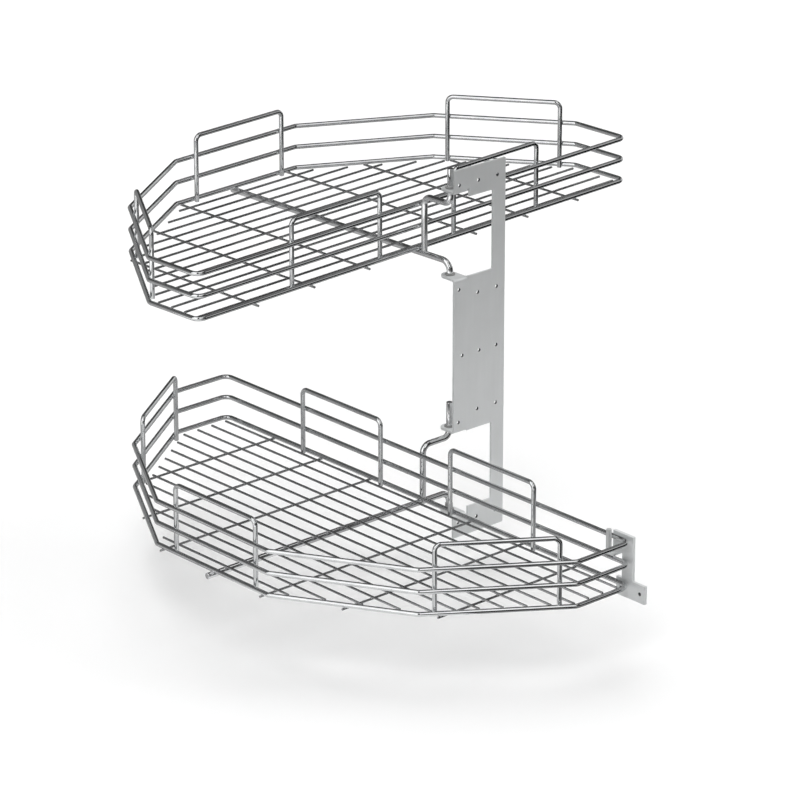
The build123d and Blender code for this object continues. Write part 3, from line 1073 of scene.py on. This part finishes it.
LAMPS = (
    Lamp("back_light", 196.0, 60.0, 2.08, 60.0),
    Lamp("side_light", 100.0, 30.0, 1.06, 30.0),
    Lamp("front_light", -12.0, 52.0, 1.0, 35.0),
)
ROOF_CARDS = (
    Card("roof", ROUND, (-4.0, 90.0), 0.06, 0.0),
    Card("left_window", (-70.0, -14.0), (0.0, 60.0), 1.35, WINDOW),
    Card("crown_window", (-110.0, 125.0), (60.0, 78.0), 0.9, WINDOW),
    Card("near_window", (5.0, 25.0), (24.0, 60.0), 1.35, WINDOW),
    Card("front_window", (25.0, 45.0), (22.0, 60.0), 0.95, WINDOW),
    Card("front_gap", (5.0, 22.0), (-4.0, 24.0), 0.0, WINDOW),
    Card("front_panel", (22.0, 45.0), (-4.0, 22.0), 0.2, WINDOW),
    Card("right_panel", (80.0, 118.0), (14.0, 40.0), 0.42, WINDOW),
    Card("upper_panel", (125.0, 172.0), (36.0, 52.0), 0.25, WINDOW),
    Card("right_gap", (65.0, 112.0), (-4.0, 12.0), 0.005, WINDOW),
    Card("back_window", (118.0, 160.0), (-4.0, 27.0), 0.62, WINDOW),
    Card("left_panel", (-165.0, -75.0), (-4.0, 30.0), 0.24, WINDOW),
)
FLOOR_CARDS = (
    Card("near_ring", ROUND, (0.0, 0.6), 0.42, RING),
    Card("middle_ring", ROUND, (0.6, 1.3), 0.42, RING),
    Card("far_ring", ROUND, (1.3, 7.0), 0.25, RING),
    Card("left_floor", (-140.0, -86.0), (0.9, 7.0), 0.45, STRIP),
    Card("near_strip", (-60.0, 4.0), (0.2, 0.9), 0.8, STRIP),
    Card("bright_strip", (-85.0, 4.0), (0.9, 1.4), 1.35, STRIP),
    Card("pale_strip", (-85.0, 4.0), (1.4, 2.6), 0.6, STRIP),
    Card("shade_strip", (4.0, 30.0), (0.44, 0.62), 0.1, STRIP),
    Card("front_strip", (4.0, 30.0), (0.62, 1.05), 0.0, STRIP),
    Card("front_far", (4.0, 50.0), (1.05, 7.0), 0.3, STRIP),
    Card("front_floor", (30.0, 50.0), (0.3, 1.0), 0.25, STRIP),
    Card("dark_strip", (50.0, 128.0), (0.48, 7.0), 0.01, STRIP),
)


@dataclass
class Studio:
    """Camera, lamps, pale floor, and the cards that only show in the plating."""

    floor_z: float = -0.28
    floor_radius: float = 14.0
    floor_colour: Colour = (0.99, 0.99, 0.99, 1.0)
    floor_roughness: float = 0.9
    floor_sides: int = 96
    lift: float = 0.02
    ambient: float = 0.06
    roof_radius: float = 7.0
    roof_rows: int = 10
    card_degrees: int = 6
    azimuth: float = 42.04
    elevation: float = 21.34
    focal_pixels: float = 4412.0
    image_width: float = 800.0
    sensor: float = 36.0
    clip_end: float = 60.0
    distance: float = 5.522
    aim: Corner = (0.0, 0.02, 0.0)
    across: float = 0.0621
    above: float = 0.0603

    def directions(self) -> tuple[np.ndarray, np.ndarray, np.ndarray]:
        """Work out the camera's axes from its azimuth and elevation.

        Returns:
            The directions to its right, up and forward.
        """
        a, e = math.radians(self.azimuth), math.radians(self.elevation)
        right = np.array([math.cos(a), -math.sin(a), 0.0])
        level = np.array([math.sin(a), math.cos(a), 0.0])
        rise = np.array([0.0, 0.0, 1.0])
        return right, math.sin(e) * level + math.cos(e) * rise, math.cos(e) * level - math.sin(e) * rise

    def camera(self) -> None:
        """Set up the camera where the picture was taken from."""
        right, up, forward = self.directions()
        data = bpy.data.cameras.new("camera")
        data.sensor_width = self.sensor
        data.lens = self.focal_pixels / self.image_width * self.sensor
        data.clip_end = self.clip_end
        camera = bpy.data.objects.new("camera", data)
        bpy.context.scene.collection.objects.link(camera)
        place = np.array(self.aim) - self.across * right - self.above * up - self.distance * forward
        matrix = np.eye(4)
        matrix[:3] = np.stack([right, up, -forward, place], axis=1)
        camera.matrix_world = Matrix(matrix.tolist())
        bpy.context.scene.camera = camera

    def world(self) -> None:
        """Light everything from all round, and show white to the camera and in the plating."""
        world = bpy.data.worlds.new("studio")
        world.use_nodes = True
        back = world.node_tree.nodes["Background"]
        back.inputs["Color"].default_value = WHITE
        link(world, spread(world, seen_directly(world), (self.ambient, 1.0)), back.inputs["Strength"])
        bpy.context.scene.world = world

    def floor(self) -> None:
        """Lay a round pale floor that keeps the shelf's shadow.

        A point of the floor is (r cos a, r sin a) for a radius r, nought or the floor's own, and
        a bearing a.
        """
        radius = np.array([0.0, self.floor_radius])[:, None]
        angle = np.linspace(0.0, 2 * math.pi, self.floor_sides, endpoint=False)[None, :]
        points = np.stack([radius * np.cos(angle), radius * np.sin(angle),
                           np.full((2, self.floor_sides), self.floor_z)], axis=-1)
        quads = grid_quads(2, self.floor_sides, False, True)[:, ::-1]
        floor = add_mesh("studio_floor", points.reshape(-1, 3), quads, smooth=False)
        material, shader = new_material("studio_floor")
        shader.inputs["Base Color"].default_value = self.floor_colour
        shader.inputs["Roughness"].default_value = self.floor_roughness
        shader.inputs["Specular IOR Level"].default_value = 0.0
        shader.inputs["Emission Color"].default_value = WHITE
        glow = spread(material, seen_directly(material), (0.0, self.lift))
        link(material, glow, shader.inputs["Emission Strength"])
        floor.data.materials.append(material)

    def sun(self, lamp: Lamp) -> None:
        """Add one even lamp.

        Args:
            lamp: which lamp it is.
        """
        data = bpy.data.lights.new(lamp.name, "SUN")
        data.energy = lamp.strength
        data.angle = math.radians(lamp.width)
        sun = bpy.data.objects.new(lamp.name, data)
        bpy.context.scene.collection.objects.link(sun)
        turn = math.radians(lamp.bearing - self.azimuth)
        sun.rotation_euler = (math.radians(90.0 - lamp.height), 0.0, turn)

    def put_up(self, kind: Card, points: np.ndarray) -> None:
        """Put up a card that glows in reflections and is hidden from all else.

        Args:
            kind: which card it is.
            points: a grid of points, rows by columns by three.
        """
        card = add_mesh(kind.name, points.reshape(-1, 3), grid_quads(*points.shape[:2]))
        material, shader = new_material(kind.name)
        shader.inputs["Base Color"].default_value = BLACK
        shader.inputs["Specular IOR Level"].default_value = 0.0
        shader.inputs["Emission Color"].default_value = (kind.grey, kind.grey, kind.grey, 1.0)
        shader.inputs["Emission Strength"].default_value = 1.0
        card.data.materials.append(material)
        card.visible_camera = False
        card.visible_diffuse = False
        card.visible_shadow = False
        card.visible_transmission = False

    def card_angles(self, card: Card) -> np.ndarray:
        """Spread a card's bearings evenly, and turn them into angles from +X.

        Args:
            card: which card it is.

        Returns:
            The angles in radians, as a row.
        """
        first, last = card.bearings
        steps = 2 + int(abs(last - first) // self.card_degrees)
        return np.radians(np.linspace(first, last, steps) - self.azimuth - 90.0)[None, :]

    def roof_card(self, card: Card) -> None:
        """Hang a curved card over the shelf.

        A point is R (cos h cos a, cos h sin a, sin h) for a bearing a and a height h.

        Args:
            card: which card it is.
        """
        angle = self.card_angles(card)
        height = np.radians(np.linspace(*card.reach, self.roof_rows))[:, None]
        unit = np.stack([np.cos(height) * np.cos(angle), np.cos(height) * np.sin(angle),
                         np.sin(height) + 0.0 * angle], axis=-1)
        self.put_up(card, (self.roof_radius - card.offset) * unit)

    def floor_card(self, card: Card) -> None:
        """Lay a flat card on the floor round the shelf.

        A point is (r cos a, r sin a, z) for a bearing a and a radius r.

        Args:
            card: which card it is.
        """
        angle = self.card_angles(card)
        radius = np.array(card.reach)[:, None]
        height = np.full((2, angle.shape[1]), self.floor_z + card.offset)
        self.put_up(card, np.stack([radius * np.cos(angle), radius * np.sin(angle), height], axis=-1))

    def build(self) -> None:
        """Set up the camera, the light, the floor and the cards."""
        self.camera()
        self.world()
        self.floor()
        for lamp in LAMPS:
            self.sun(lamp)
        for card in ROOF_CARDS:
            self.roof_card(card)
        for card in FLOOR_CARDS:
            self.floor_card(card)
        bpy.context.scene.view_settings.view_transform = "Standard"
        LOG.info("studio: %d lamps, %d cards", len(LAMPS), len(ROOF_CARDS) + len(FLOOR_CARDS))


UPPER_PLACE = Place(20.0 * MM, 183.55 * MM, 2.7)
LOWER_PLACE = Place(20.0 * MM, -125.35 * MM, 90.0)


def main() -> None:
    """Build the shelf, dress its fittings and light it."""
    logging.basicConfig(level=logging.INFO, format="%(name)s: %(message)s")
    finishes = WireFinishes(
        RING_PLATING.material(), ARM_PLATING_PAINTED_HIGHLIGHT.material(), FLOOR_PLATING_PAINTED_SHADE.material(), WELD_SKIN.material())
    Basket("upper", Body.UPPER, UPPER_PLACE, finishes).build()
    Basket("lower", Body.LOWER, LOWER_PLACE, finishes).build()
    Fittings().build()
    Studio().build()


if __name__ == "__main__":
    main()
